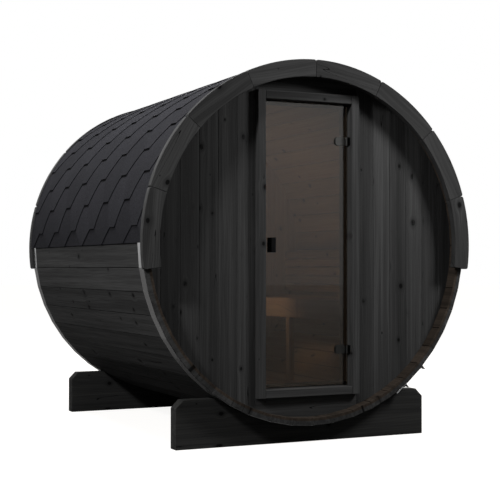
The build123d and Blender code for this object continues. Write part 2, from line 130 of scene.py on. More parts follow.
class Graph:
    """Short ways to add the nodes that recur in a tree."""

    tree: NodeTree

    def add(self, kind: str, feeds: dict[int | str, Feed] | None = None, **settings: Any) -> Node:
        """Adds a node with its settings and links.

        Args:
            kind: the node's type name.
            feeds: what goes into each input, by index or by the name of an enabled input.
            settings: the node's own properties.

        Returns:
            The new node.
        """
        node = self.tree.nodes.new(kind)
        for name, value in settings.items():
            setattr(node, name, value)
        connect(self.tree, node, feeds or {})
        return node

    def calc(self, operation: str, *values: Feed) -> Node:
        """Adds a sum. Its values go into the inputs in turn."""
        return self.add("ShaderNodeMath", dict(enumerate(values)), operation=operation)

    def ramp(self, value: Feed, source: Range = UNIT, result: Range = UNIT, **settings: Any) -> Node:
        """Adds a map from one range to another, held at both ends."""
        ranges = {"From Min": source[0], "From Max": source[1], "To Min": result[0], "To Max": result[1]}
        return self.add("ShaderNodeMapRange", {"Value": value, **ranges}, **settings)

    def blend(self, factor: Feed, first: Feed, second: Feed) -> Node:
        """Adds a mix of two colours, which is the first at 0 and the second at 1."""
        return self.add("ShaderNodeMix", {"Factor": factor, "A": first, "B": second}, data_type="RGBA")

    def noise(self, where: Feed, scale: float, detail: float, rough: float = 0.5) -> Feed:
        """Adds a noise and hands on its value."""
        feeds = {"Vector": where, "Scale": scale, "Detail": detail, "Roughness": rough}
        return self.add("ShaderNodeTexNoise", feeds), "Fac"

    def split(self, vector: Feed) -> Node:
        """Adds the parts of a vector."""
        return self.add("ShaderNodeSeparateXYZ", {0: vector})

    def point(self, x: Feed = 0.0, y: Feed = 0.0, z: Feed = 0.0) -> Node:
        """Adds a vector made of its parts."""
        return self.add("ShaderNodeCombineXYZ", {"X": x, "Y": y, "Z": z})

    def length(self, vector: Feed) -> Feed:
        """Adds the length of a vector and hands on its value."""
        return self.add("ShaderNodeVectorMath", {0: vector}, operation="LENGTH"), "Value"

    def marked(self, name: str) -> Feed:
        """Adds an attribute of the mesh and hands on its value."""
        return self.add("ShaderNodeAttribute", attribute_name=name), "Fac"


class Paint(Graph):
    """A new material with one Principled shader."""

    def __init__(self, name: str) -> None:
        """Makes the material, its shader and its Object coordinates."""
        self.material = bpy.data.materials.new(name)
        self.material.use_nodes = True
        self.tree = self.material.node_tree
        self.tree.nodes.clear()
        self.shader = self.add("ShaderNodeBsdfPrincipled")
        self.output = self.add("ShaderNodeOutputMaterial", {"Surface": self.shader})
        self.place = (self.add("ShaderNodeTexCoord"), "Object")

    def finish(self, feeds: dict[int | str, Feed]) -> Material:
        """Feeds the shader and hands on the material."""
        connect(self.tree, self.shader, feeds)
        return self.material

    def show(self, surface: Node) -> None:
        """Shows another shader in place of the plain one."""
        connect(self.tree, self.output, {"Surface": surface})


class Grain(Enum):
    """Which way the boards of a piece run."""

    ALONG_X = "X"
    ALONG_Y = "Y"
    ALONG_Z = "Z"
    STAVES = "along the barrel, one stave after another round it"
    RIM = "round the barrel's rim, each board sawn straight"


@dataclass(frozen=True)
class Lay:
    """How the boards of a piece lie: the way of their grain and where one ends and the next starts.

    For boards round the barrel, pitch is an angle in radians. Grown boards carry their own number.
    """

    grain: Grain
    across: str = "X"
    pitch: float = 1.0
    start: float = 0.0
    numbered: bool = False

    def spread(self, tree: Paint) -> tuple[Feed, ...]:
        """Reads a point's place in its own board, in metres.

        Args:
            tree: the material's tree.

        Returns:
            The way along the grain, across it, into the board, the board's number, and the way from
            its middle to the nearest seam, from 0 to 1.
        """
        split = tree.split(tree.place)
        calc = tree.calc
        if self.grain in (Grain.STAVES, Grain.RIM):
            rise = calc("SUBTRACT", (split, "Z"), AXIS_HEIGHT)
            aside = calc("MULTIPLY", (split, "X"), -1.0)
            turn = calc("DIVIDE", calc("ARCTAN2", aside, rise), self.pitch)
            number = calc("FLOOR", turn)
            middle = calc("SUBTRACT", calc("SUBTRACT", turn, number), 0.5)
            apart = calc("MULTIPLY", middle, self.pitch)
            reach = tree.length(tree.point(aside, rise))
            sideways = calc("MULTIPLY", reach, calc("SINE", apart))
            outwards = calc("MULTIPLY", reach, calc("COSINE", apart))
            depth = (split, "Y")
            seam = calc("MULTIPLY", calc("ABSOLUTE", middle), 2.0)
            if self.grain is Grain.RIM:
                return sideways, outwards, depth, number, seam
            # The painted shade of the seam's groove runs along the barrel, not across the sawn ends.
            ends = calc("ABSOLUTE", depth)
            inner = calc("LESS_THAN", ends, BARREL_HALF_LENGTH - STAVE_END_DEPTH)
            return depth, sideways, outwards, number, calc("MULTIPLY", seam, inner)
        letters = [self.grain.value, self.across, ({"X", "Y", "Z"} - {self.grain.value, self.across}).pop()]
        along, across, depth = ((split, letter) for letter in letters)
        turn = calc("DIVIDE", calc("SUBTRACT", across, self.start), self.pitch)
        seam = calc("PINGPONG", turn, 2.0)
        if self.numbered:
            return along, across, depth, tree.add("ShaderNodeAttribute", attribute_name="board"), seam
        return along, across, depth, calc("FLOOR", turn), seam


@dataclass(frozen=True)
class Tones:
    """The colours of one timber finish, as sRGB hex values."""

    base: str
    pale: str
    dark: str
    knot: str


BLACK_STAIN = Tones(base="363636", pale="484848", dark="222222", knot="0c0c0c")
THIN_STAIN = Tones(base="352f2a", pale="463e37", dark="24201d", knot="0d0b09")
BARE_SPRUCE = Tones(base="b98f66", pale="cfa980", dark="8a6240", knot="4f301c")


@dataclass(frozen=True)
class Timber:
    """Planed spruce boards, with long fibres, growth rings, knots and fine drying checks.

    Black stain is thin, so the grain and the knots still show through it, with the soft shine of oil.
    """

    name: str
    lay: Lay
    outside: Tones
    inside: Tones | None = None
    overhang: Tones | None = None
    roughness: float = 0.55
    shine: float = 0.02
    fibre_width: float = 0.005  # real fibres are finer, this is the finest that shows
    fibre_length: float = 0.24
    streak_width: float = 0.030
    streak_length: float = 1.5
    drift_width: float = 0.12  # the slow wander of the growth rings
    drift_length: float = 0.7
    drift_rings: float = 5.0
    ring_width: float = 0.016
    check_width: float = 0.040
    check_length: float = 1.1
    check_reach: float = 0.42  # checks are only where the drift is under this
    knot_row: float = 0.095
    knot_spacing: float = 0.46
    knot_squeeze: float = 1.3  # how much longer than wide a knot is
    knot_sizes: Range = (0.0005, 0.015)
    relief: float = 0.00022
    seam_shade: float = 1.0  # share of the half width from which the seam is darkened as painted shade in its groove, 1 for none

    def build(self) -> Material:
        """Makes the material.

        Returns:
            The new material.
        """
        tree = Paint(self.name)
        calc = tree.calc
        along, across, depth, number, seam = self.lay.spread(tree)
        chance = (tree.add("ShaderNodeTexWhiteNoise", {"W": number}, noise_dimensions="1D"), "Value")
        moved = calc("MULTIPLY_ADD", chance, 37.0, along)
        knot, swirl, halo = self.knots(tree, across, moved, chance)
        bent = calc("SUBTRACT", across, swirl)

        fibre = self.drawn(tree, (bent, self.fibre_width), (moved, self.fibre_length), depth, number, 4.0)
        streak = self.drawn(tree, (bent, self.streak_width), (moved, self.streak_length), depth, number, 2.0)
        drift = self.drawn(tree, (across, self.drift_width), (moved, self.drift_length), depth, number, 1.0)
        lines = calc("DIVIDE", bent, self.ring_width)
        lines = calc("MULTIPLY_ADD", drift, self.drift_rings, lines)
        rings = tree.ramp(calc("SINE", calc("MULTIPLY", lines, 2 * pi)), (0.1, 1.0), (0.0, 0.2))
        split = self.drawn(tree, (bent, self.check_width), (moved, self.check_length), number, depth, 0.0)
        check = calc("COMPARE", split, 0.57, 0.0035)
        check = calc("MULTIPLY", check, calc("LESS_THAN", drift, self.check_reach))

        colours = self.colours(tree)
        tone = tree.blend(tree.ramp(streak, (0.36, 0.68)), colours["base"], colours["pale"])
        tone = tree.blend(rings, tone, colours["dark"])
        thread = tree.ramp(fibre, (0.5, 0.25), (0.0, 0.4))
        for cover, part in ((thread, "dark"), (halo, "dark"), (knot, "knot"), (check, "knot")):
            tone = tree.blend(cover, tone, colours[part])
        # Painted shade: near each seam the tone goes to the knot colour, standing for the shade in the
        # groove.
        if self.seam_shade < 1.0:
            tone = tree.blend(tree.ramp(seam, (self.seam_shade, self.seam_shade + 0.02)), tone, colours["knot"])
        value = tree.ramp(chance, result=(0.82, 1.2))
        tone = tree.add("ShaderNodeHueSaturation", {"Color": tone, "Value": value})

        rough = tree.ramp(fibre, (0.3, 0.7), (self.roughness + 0.1, self.roughness - 0.06))
        height = calc("MULTIPLY", fibre, self.relief)
        height = calc("MULTIPLY_ADD", check, -0.0006, height)
        height = calc("MULTIPLY_ADD", knot, 0.0003, height)
        bump = tree.add("ShaderNodeBump", {"Height": height, "Distance": 1.0})
        feeds = {"Base Color": tone, "Roughness": rough, "Specular IOR Level": self.shine, "Normal": bump}
        return tree.finish(feeds)

    def colours(self, tree: Paint) -> dict[str, Feed]:
        """Picks each tone by the side of the barrel that a face is on.

        Args:
            tree: the material's tree.

        Returns:
            The colour of each tone.
        """
        colours = {part: linear(getattr(self.outside, part)) for part in ("base", "pale", "dark", "knot")}
        if not (self.overhang or self.inside):
            return colours
        within, between = self.cabin_side(tree)
        bare = tree.calc("MULTIPLY", within, between)
        for part in colours:
            for where, tones in ((within, self.overhang), (bare, self.inside)):
                if tones:
                    colours[part] = tree.blend(where, colours[part], linear(getattr(tones, part)))
        return colours

    def drawn(
        self,
        tree: Paint,
        across: tuple[Feed, float],
        along: tuple[Feed, float],
        depth: Feed,
        number: Feed,
        detail: float,
    ) -> Feed:
        """Adds a noise that is drawn out along the grain.

        Args:
            tree: the material's tree.
            across: the way across the board and the size of a spot that way, in metres.
            along: the way along the board and the size of a spot that way, in metres.
            depth: the way into the board.
            number: the board's number, which keeps neighbours apart.
            detail: how many finer octaves the noise has.

        Returns:
            The noise's value.
        """
        x, y = tree.calc("DIVIDE", *across), tree.calc("DIVIDE", *along)
        z = tree.calc("MULTIPLY_ADD", number, 5.3, tree.calc("DIVIDE", depth, across[1]))
        return tree.noise(tree.point(x, y, z), 1.0, detail, 0.55)

    def knots(self, tree: Paint, across: Feed, along: Feed, chance: Feed) -> tuple[Feed, ...]:
        """Adds knots at random places, of random sizes.

        Args:
            tree: the material's tree.
            across: the way across the board.
            along: the way along the board, moved by the board's own chance.
            chance: the board's random number.

        Returns:
            How much a point is in a knot, how far the grain is pushed aside, and the dark round the knot.
        """
        x = tree.calc("MULTIPLY_ADD", chance, 53.0, tree.calc("DIVIDE", across, self.knot_row))
        where = tree.point(x, tree.calc("DIVIDE", along, self.knot_spacing))
        cells = tree.add("ShaderNodeTexVoronoi", {"Vector": where, "Scale": 1.0}, voronoi_dimensions="2D")
        apart = tree.add("ShaderNodeVectorMath", {0: where, 1: (cells, "Position")}, operation="SUBTRACT")
        metres = (self.knot_row, self.knot_spacing / self.knot_squeeze, 0.0)
        apart = tree.add("ShaderNodeVectorMath", {0: apart, 1: metres}, operation="MULTIPLY")
        kind = tree.add("ShaderNodeSeparateColor", {0: (cells, "Color")})
        size = tree.ramp((kind, "Red"), (0.35, 1.0), self.knot_sizes)
        radii = tree.calc("DIVIDE", tree.length(apart), size)
        knot = tree.ramp(radii, (1.15, 0.7), (0.0, 0.92), interpolation_type="SMOOTHSTEP")
        halo = tree.ramp(radii, (2.6, 0.9), (0.0, 0.5), interpolation_type="SMOOTHSTEP")
        pull = tree.ramp(radii, (4.5, 0.5), (0.0, 0.85), interpolation_type="SMOOTHSTEP")
        return knot, tree.calc("MULTIPLY", (tree.split(apart), "X"), pull), halo

    def cabin_side(self, tree: Paint) -> tuple[Feed, Feed]:
        """Adds the tests for faces that turn to the barrel's axis, and for those between its two end walls.

        Args:
            tree: the material's tree.

        Returns:
            Two values that are 1 on such faces and 0 on all others.
        """
        split = tree.split(tree.place)
        reach = tree.length(tree.point((split, "X"), tree.calc("SUBTRACT", (split, "Z"), AXIS_HEIGHT)))
        within = tree.calc("LESS_THAN", reach, CABIN_SIDE_RADIUS)
        return within, tree.calc("LESS_THAN", tree.calc("ABSOLUTE", (split, "Y")), WALL_MIDDLE)


@dataclass(frozen=True)
class SlateFelt:
    """Bitumen felt with crushed slate pressed into it: a dull, speckled grey that varies from tab to tab,
    with a painted shade just under each foot.
    """

    name: str = "bitumen_shingle_slate"
    base: str = "212124"
    pale: str = "353539"
    dark: str = "111113"
    cut: str = "070707"  # the bitumen of the cut edges, which has no slate on it, and also the colour of the painted shade under each foot
    shade_band: float = 0.010  # width of the painted shade just under the next foot
    grit: float = 0.006  # real grit is 1 to 2 mm, this is the finest that shows
    cloud: float = 0.18
    roughness: float = 0.86
    shine: float = 0.03
    relief: float = 0.0012

    def build(self) -> Material:
        """Makes the material.

        Returns:
            The new material.
        """
        tree = Paint(self.name)
        grit = tree.noise(tree.place, 1 / self.grit, 2.0)
        cloud = tree.noise(tree.place, 1 / self.cloud, 3.0)
        tone = tree.blend(tree.ramp(grit, (0.35, 0.65)), linear(self.dark), linear(self.pale))
        tone = tree.blend(0.6, tone, linear(self.base))
        value = tree.ramp(tree.marked("tab"), result=(0.86, 1.14))
        value = tree.calc("SUBTRACT", tree.calc("MULTIPLY_ADD", cloud, 0.3, value), 0.15)
        tone = tree.add("ShaderNodeHueSaturation", {"Color": tone, "Value": value})
        # Painted shade: a dark band just under the foot of the course above, where that foot's shadow falls.
        under = tree.ramp(tree.marked("under"), (1 - 1.2 * self.shade_band, 1 - 0.8 * self.shade_band), (0.0, 0.85))
        tone = tree.blend(tree.calc("MAXIMUM", tree.marked("edge"), under), tone, linear(self.cut))
        bump = tree.add("ShaderNodeBump", {"Height": grit, "Distance": self.relief, "Strength": 0.8})
        feeds = {"Base Color": tone, "Roughness": self.roughness, "Normal": bump}
        return tree.finish(feeds | {"Specular IOR Level": self.shine})


@dataclass(frozen=True)
class RolledSteel:
    """Stainless steel or plated fittings: metal with fine marks along the way it was rolled or polished."""

    name: str
    base: str
    worn: str
    roughness: float
    marks: tuple[float, float, float] = (1 / 0.05, 1 / 0.002, 1 / 0.05)
    relief: float = 0.00006

    def build(self) -> Material:
        """Makes the material.

        Returns:
            The new material.
        """
        tree = Paint(self.name)
        stretched = tree.add("ShaderNodeMapping", {"Vector": tree.place, "Scale": self.marks})
        marks = tree.noise(stretched, 1.0, 3.0)
        smears = tree.noise(tree.place, 9.0, 2.0)
        tone = tree.blend(smears, linear(self.base), linear(self.worn))
        rough = tree.ramp(marks, result=(self.roughness - 0.06, self.roughness + 0.1))
        bump = tree.add("ShaderNodeBump", {"Height": marks, "Distance": self.relief})
        return tree.finish({"Base Color": tone, "Metallic": 1.0, "Roughness": rough, "Normal": bump})


@dataclass(frozen=True)
class BronzeGlass:
    """Toughened float glass tinted bronze: clear and sharp, it darkens and warms what is behind it."""

    name: str = "toughened_glass_bronze"
    tint: str = "9b8e7f"
    bending: float = 1.5
    film: float = 0.03  # roughness of the faint film on it

    def build(self) -> Material:
        """Makes the material. Daylight passes the pane by the Transparent shader, as in a real one.

        Returns:
            The new material.
        """
        tree = Paint(self.name)
        rough = tree.ramp(tree.noise(tree.place, 6.0, 3.0), (0.3, 0.8), (0.0, self.film))
        clear = tree.add("ShaderNodeBsdfTransparent", {"Color": linear(self.tint)})
        path = tree.add("ShaderNodeLightPath")
        passing = tree.calc("MAXIMUM", (path, "Is Shadow Ray"), (path, "Is Diffuse Ray"))
        tree.show(tree.add("ShaderNodeMixShader", {0: passing, 1: tree.shader, 2: clear}))
        feeds = {"Base Color": linear(self.tint), "Roughness": rough, "IOR": self.bending}
        return tree.finish(feeds | {"Transmission Weight": 1.0})


@dataclass(frozen=True)
class MouldedBlack:
    """Plastic or rubber from a mould: one even colour, matt, with a fine even grain."""

    name: str
    base: str
    pale: str
    roughness: float = 0.5
    shine: float = 0.1
    grain: float = 0.0015
    relief: float = 0.0001

    def build(self) -> Material:
        """Makes the material.

        Returns:
            The new material.
        """
        tree = Paint(self.name)
        grain = tree.noise(tree.place, 1 / self.grain, 1.0)
        tone = tree.blend(grain, linear(self.base), linear(self.pale))
        rough = tree.ramp(grain, result=(self.roughness - 0.05, self.roughness + 0.08))
        bump = tree.add("ShaderNodeBump", {"Height": grain, "Distance": self.relief})
        feeds = {"Base Color": tone, "Roughness": rough, "Specular IOR Level": self.shine, "Normal": bump}
        return tree.finish(feeds)


class Growth(Graph):
    """A Geometry Nodes tree with named inputs, and the plain meshes that are grown from it."""

    def __init__(self, name: str, sizes: dict[str, float | int]) -> None:
        """Makes the empty tree.

        Args:
            name: the tree's name.
            sizes: its inputs and their usual values. A whole number makes a count, any other a length.
        """
        self.sizes = sizes
        self.tree = bpy.data.node_groups.new(name, "GeometryNodeTree")
        self.tree.interface.new_socket("Geometry", in_out="OUTPUT", socket_type="NodeSocketGeometry")
        for label, value in sizes.items():
            kind = "NodeSocketInt" if isinstance(value, int) else "NodeSocketFloat"
            self.tree.interface.new_socket(label, in_out="INPUT", socket_type=kind)
        self.tree.interface.new_socket("Finish", in_out="INPUT", socket_type="NodeSocketMaterial")
        self.given = super().add("NodeGroupInput")

    def add(self, kind: str, feeds: dict[int | str, Feed] | None = None, **settings: Any) -> Node:
        """Adds a node to the tree. A feed that is one of the input names stands for that input."""
        named = dict(feeds or {})
        for key, value in named.items():
            if isinstance(value, str) and value in self.sizes:
                named[key] = (self.given, value)
        return super().add(kind, named, **settings)

    def spot(self) -> Node:
        """Adds the parts of a point's place."""
        return self.split(self.add("GeometryNodeInputPosition"))

    def row(self, count: Feed, step: Node, start: Feed = (0.0, 0.0, 0.0)) -> Node:
        """Adds a line of points."""
        return self.add("GeometryNodeMeshLine", {"Count": count, "Offset": step, "Start Location": start})

    def lay(self, points: Node, instance: Feed) -> Node:
        """Lays an instance on each point."""
        return self.add("GeometryNodeInstanceOnPoints", {"Points": points, "Instance": instance})

    def real(self, instances: Node) -> Node:
        """Turns instances into a mesh."""
        return self.add("GeometryNodeRealizeInstances", {0: instances})

    def mark(self, geometry: Feed, name: str, value: Feed, domain: str = "POINT", **where: Feed) -> Node:
        """Stores an attribute that a material reads."""
        feeds = {"Geometry": geometry, "Name": name, "Value": value, **where}
        return self.add("GeometryNodeStoreNamedAttribute", feeds, domain=domain)

    def thicken(self, sheet: Node, down: Feed, edge: Feed) -> Node:
        """Makes a closed body from a sheet.

        Args:
            sheet: the sheet, which becomes the body's top.
            down: how far the underside lies under it, below zero.
            edge: the value of the attribute "edge" on the sides.

        Returns:
            The body.
        """
        way = self.point(z=down)
        feeds = {"Mesh": sheet, "Offset": way, "Offset Scale": 1.0, "Individual": False}
        body = self.add("GeometryNodeExtrudeMesh", feeds)
        body = self.mark(body, "edge", edge, "FACE", Selection=(body, "Side"))
        whole = self.add("GeometryNodeJoinGeometry")
        self.tree.links.new(body.outputs[0], whole.inputs[0])
        self.tree.links.new(self.add("GeometryNodeFlipFaces", {"Mesh": sheet}).outputs[0], whole.inputs[0])
        return self.add("GeometryNodeMergeByDistance", {"Geometry": whole, "Distance": 0.00001})

    def close(self, geometry: Node, x: Feed, y: Feed, z: Feed) -> None:
        """Moves the points to their last place and ends in Realize Instances, a weld and Set Material."""
        moved = self.add("GeometryNodeSetPosition", {"Geometry": geometry, "Position": self.point(x, y, z)})
        welded = self.add("GeometryNodeMergeByDistance", {"Geometry": self.real(moved), "Distance": 0.00002})
        finish = (self.given, "Finish")
        dressed = self.add("GeometryNodeSetMaterial", {"Geometry": welded, "Material": finish})
        self.add("NodeGroupOutput", {0: dressed})

    def grow(self, name: str, finish: Material, **sizes: float | int) -> Object:
        """Grows one piece and leaves it as a plain mesh.

        Args:
            name: the piece's name.
            finish: its material.
            sizes: inputs that differ from their usual values, with _ for each space.

        Returns:
            The new object, at the origin.
        """
        piece = new_piece(name, bpy.data.meshes.new(name))
        modifier = piece.modifiers.new("growth", "NODES")
        modifier.node_group = self.tree
        wanted = {**self.sizes, **{k.replace("_", " "): v for k, v in sizes.items()}, "Finish": finish}
        for item in self.tree.interface.items_tree:
            if item.in_out == "INPUT":
                modifier[item.identifier] = wanted[item.name]
        depsgraph = bpy.context.evaluated_depsgraph_get()
        mesh = bpy.data.meshes.new_from_object(
            piece.evaluated_get(depsgraph), preserve_all_data_layers=True, depsgraph=depsgraph
        )
        piece.modifiers.clear()
        piece.data = mesh
        mesh.name = name
        return piece


def new_piece(name: str, mesh: Mesh) -> Object:
    """Puts a new object into the scene, at the origin."""
    piece = bpy.data.objects.new(name, mesh)
    bpy.context.scene.collection.objects.link(piece)
    return piece


def solid_piece(name: str, work: bmesh.types.BMesh, finish: Material) -> Object:
    """Makes an object from a built-up mesh.

    Args:
        name: the piece's name.
        work: the mesh, which is used up.
        finish: its material.

    Returns:
        The new object.
    """
    mesh = bpy.data.meshes.new(name)
    work.to_mesh(mesh)
    work.free()
    mesh.materials.append(finish)
    return new_piece(name, mesh)


def shade(mesh: Mesh, sharp_bend: float) -> None:
    """Sets smooth shading up to an angle, and sharp edges above it."""
    mesh.polygons.foreach_set("use_smooth", [True] * len(mesh.polygons))
    mesh.set_sharp_from_angle(angle=sharp_bend)


def tidy_mesh(mesh: Mesh, sharp_bend: float) -> None:
    """Drops leftover specks, turns the faces outwards and sets the shading.

    Args:
        mesh: the mesh, which is changed.
        sharp_bend: edges that bend more than this stay sharp.
    """
    work = bmesh.new()
    work.from_mesh(mesh)
    specks = [f for f in work.faces if f.calc_area() < SPECK_AREA]
    bmesh.ops.delete(work, geom=specks, context="FACES_ONLY")
    bmesh.ops.recalc_face_normals(work, faces=work.faces)
    work.to_mesh(mesh)
    work.free()
    shade(mesh, sharp_bend)


def joined(name: str, parts: Sequence[Object]) -> Object:
    """Joins several new meshes into one piece.

    Args:
        name: the piece's name.
        parts: the objects, which are used up.

    Returns:
        The joined object.
    """
    with bpy.context.temp_override(active_object=parts[0], selected_editable_objects=list(parts)):
        bpy.ops.object.join()
    parts[0].name = parts[0].data.name = name
    return parts[0]


def ease_edges(piece: Object, width: float) -> None:
    """Eases a piece's edges, as a planer leaves them."""
    bevel = piece.modifiers.new("eased_edges", "BEVEL")
    bevel.width = width
    bevel.segments = 2
    bevel.limit_method = "ANGLE"
    bevel.angle_limit = SHARP_BEND
    bevel.harden_normals = True


def eased_copies(nodes: Sequence[str], finish: Material, ease: float) -> None:
    """Makes pieces from copies of CAD nodes, with eased edges.

    Args:
        nodes: the CAD nodes that they stand for.
        finish: their material.
        ease: width of the eased edges.
    """
    for node in nodes:
        source = frame["nodes"][node]
        mesh = source.data.copy()
        work = bmesh.new()
        work.from_mesh(mesh)
        bmesh.ops.remove_doubles(work, verts=work.verts, dist=1e-5)
        bmesh.ops.dissolve_limit(work, angle_limit=radians(0.5), verts=work.verts, edges=work.edges)
        work.to_mesh(mesh)
        work.free()
        if "custom_normal" in mesh.attributes:
            mesh.attributes.remove(mesh.attributes["custom_normal"])
        shade(mesh, SHARP_BEND)
        mesh.materials.clear()
        mesh.materials.append(finish)
        piece = new_piece(f"{node}_eased", mesh)
        ease_edges(piece, ease)
        seat(piece, source["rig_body"], source.data.materials[0].name, node)


def seat(piece: Object, body: str, slot: str, *nodes: str) -> None:
    """Tells the frame which body a piece rides on and hides the CAD nodes that it stands for."""
    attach(piece, body)
    if nodes:
        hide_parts(*nodes)
    LOG.info("%s: %d faces on %s", piece.name, len(piece.data.polygons), body)


def dress(finish: Material, *nodes: str) -> None:
    """Gives all slots of CAD nodes one finish."""
    for node in nodes:
        materials = frame["nodes"][node].data.materials
        for index in range(len(materials)):
            materials[index] = finish
        LOG.info("%s: dressed in %s", node, finish.name)


@dataclass
class Shell:
    """The coopered shell: 48 staves in eight panels, black outside and bare inside."""

    sides: tuple[str, ...] = ("right_upper", "top_right", "top_left", "left_upper")
    undersides: tuple[str, ...] = ("left_lower", "bottom_left", "bottom_right", "right_lower")
    ease: float = 0.0013
    # share of the half width from which each seam is darkened as painted shade
    seam_shade: float = 0.955

    def build(self) -> None:
        """Makes the staves with eased edges, which draw the fine dark seams, with painted shade in each
        seam's groove.
        """
        lay = Lay(Grain.STAVES, pitch=STAVE_TURN)
        tones = (BLACK_STAIN, BARE_SPRUCE, THIN_STAIN)
        finish = Timber("spruce_staves_black_stain", lay, *tones, seam_shade=self.seam_shade).build()
        eased_copies([f"staves_{panel}" for panel in self.sides + self.undersides], finish, self.ease)


@dataclass
class EndWalls:
    """End walls of upright boards cut to the barrel, with a crosspiece over and under the door."""

    board: float = 0.1141
    gap: float = 0.0002
    radius: float = 0.9962
    ease: float = 0.0028
    side_boards: int = 6  # boards on each side of the door
    rear_boards: int = 18
    tongue: float = 0.010  # thickness of the tongues, which close the seams in the middle of the wall
    tongue_gap: float = 0.001
    tongue_inset: float = 0.003
    cuts: int = 9  # points across a board's end, which draw its curve
    tree: Growth = field(init=False)

    def __post_init__(self) -> None:
        """Builds the tree for a run of boards cut to the circle."""
        sizes = {"Boards": 5, "Cuts": self.cuts, "Pitch": self.board, "First": 0.0, "Gap": self.gap}
        sizes |= {"Radius": self.radius, "Axis Height": AXIS_HEIGHT, "Low": 0.0, "High": 3.0}
        sizes |= {"Near": -1.025, "Far": -0.981, "Side": 2.0}
        grow = self.tree = Growth("upright_boards", sizes)
        calc = grow.calc
        start = grow.point(calc("MULTIPLY_ADD", "Pitch", 0.5, "First"))
        line = grow.row("Boards", grow.point("Pitch"), start)
        size = grow.point(calc("SUBTRACT", "Pitch", "Gap"), calc("SUBTRACT", "Far", "Near"), 2.0)
        cube = grow.add("GeometryNodeMeshCube", {"Size": size, "Vertices X": "Cuts"})
        spot = grow.spot()
        number = calc("MULTIPLY", (spot, "X"), 71.7)
        boards = grow.real(grow.mark(grow.lay(line, (cube, "Mesh")), "board", number, "INSTANCE"))
        limit = calc("MINIMUM", "Side", "Radius")
        left = calc("MULTIPLY", limit, -1.0)
        x = calc("MAXIMUM", calc("MINIMUM", (spot, "X"), limit), left)
        square = calc("POWER", "Radius", 2.0)
        rest = calc("MAXIMUM", calc("SUBTRACT", square, calc("MULTIPLY", x, x)), 0.0)
        reach = calc("SQRT", rest)
        z = calc("MULTIPLY_ADD", calc("SIGN", (spot, "Z")), reach, "Axis Height")
        z = calc("MAXIMUM", calc("MINIMUM", z, "High"), "Low")
        y = calc("MULTIPLY_ADD", calc("ADD", "Near", "Far"), 0.5, (spot, "Y"))
        grow.close(boards, x, y, z)

    def build(self) -> None:
        """Grows both walls."""
        left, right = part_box("front_wall_left"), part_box("front_wall_right")
        over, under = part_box("front_wall_over_door"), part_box("front_wall_under_door")
        lay = Lay(Grain.ALONG_Z, "X", numbered=True)
        finish = Timber("spruce_wall_boards_black_stain", lay, BLACK_STAIN, BARE_SPRUCE).build()
        lay = Lay(Grain.ALONG_X, "Z", 2.0, -0.5)
        level = Timber("spruce_wall_crosspieces_black_stain", lay, BLACK_STAIN, BARE_SPRUCE).build()
        first = left[1].x - self.side_boards * self.board
        y = {"Near": left[0].y, "Far": left[1].y}
        cross = {"Boards": 1, "First": over[0].x, "Pitch": over[1].x - over[0].x, **y}
        parts = [
            self.tree.grow("wall_left", finish, Boards=self.side_boards, First=first, **y),
            self.tree.grow("wall_right", finish, Boards=self.side_boards, First=right[0].x, **y),
            self.tree.grow("wall_over", level, Low=over[0].z, **cross),
            self.tree.grow("wall_under", level, High=under[1].z, **{**cross, "First": under[0].x}),
            self.tongues("tongues_left", finish, first, self.side_boards, left),
            self.tongues("tongues_right", finish, right[0].x, self.side_boards, right),
        ]
        nodes = [f"front_wall_{part}" for part in ("left", "right", "over_door", "under_door")]
        self.finish(joined("front_wall_boards", parts), *nodes)
        low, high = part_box("rear_wall")
        count = self.rear_boards
        first = -count / 2 * self.board
        rear = self.tree.grow("rear_boards", finish, Boards=count, First=first, Near=low.y, Far=high.y)
        tongues = self.tongues("tongues_rear", finish, first, count, (low, high))
        self.finish(joined("rear_wall_boards", [rear, tongues]), "rear_wall")

    def tongues(
        self, name: str, finish: Material, first: float, boards: int, box: Sequence[Vector]
    ) -> Object:
        """Grows the thin sheet that stands for the tongues of a run of boards and lets no light through.

        Args:
            name: the part's name.
            finish: its material.
            first: where the run starts, along x.
            boards: how many boards the run has.
            box: the wall's lowest and highest corners.

        Returns:
            The new part.
        """
        middle = (box[0].y + box[1].y) / 2
        sizes = {"Boards": 1, "Cuts": 6 * boards + 1, "Pitch": boards * self.board, "First": first}
        sizes |= {"Near": middle - self.tongue / 2, "Far": middle + self.tongue / 2}
        sizes |= {"Radius": self.radius - self.tongue_inset, "Gap": self.tongue_gap}
        return self.tree.grow(name, finish, **sizes)

    def finish(self, wall: Object, *nodes: str) -> None:
        """Eases a wall's boards and seats it in the frame."""
        tidy_mesh(wall.data, SHARP_BEND)
        ease_edges(wall, self.ease)
        seat(wall, "cabin", "black_timber", *nodes)


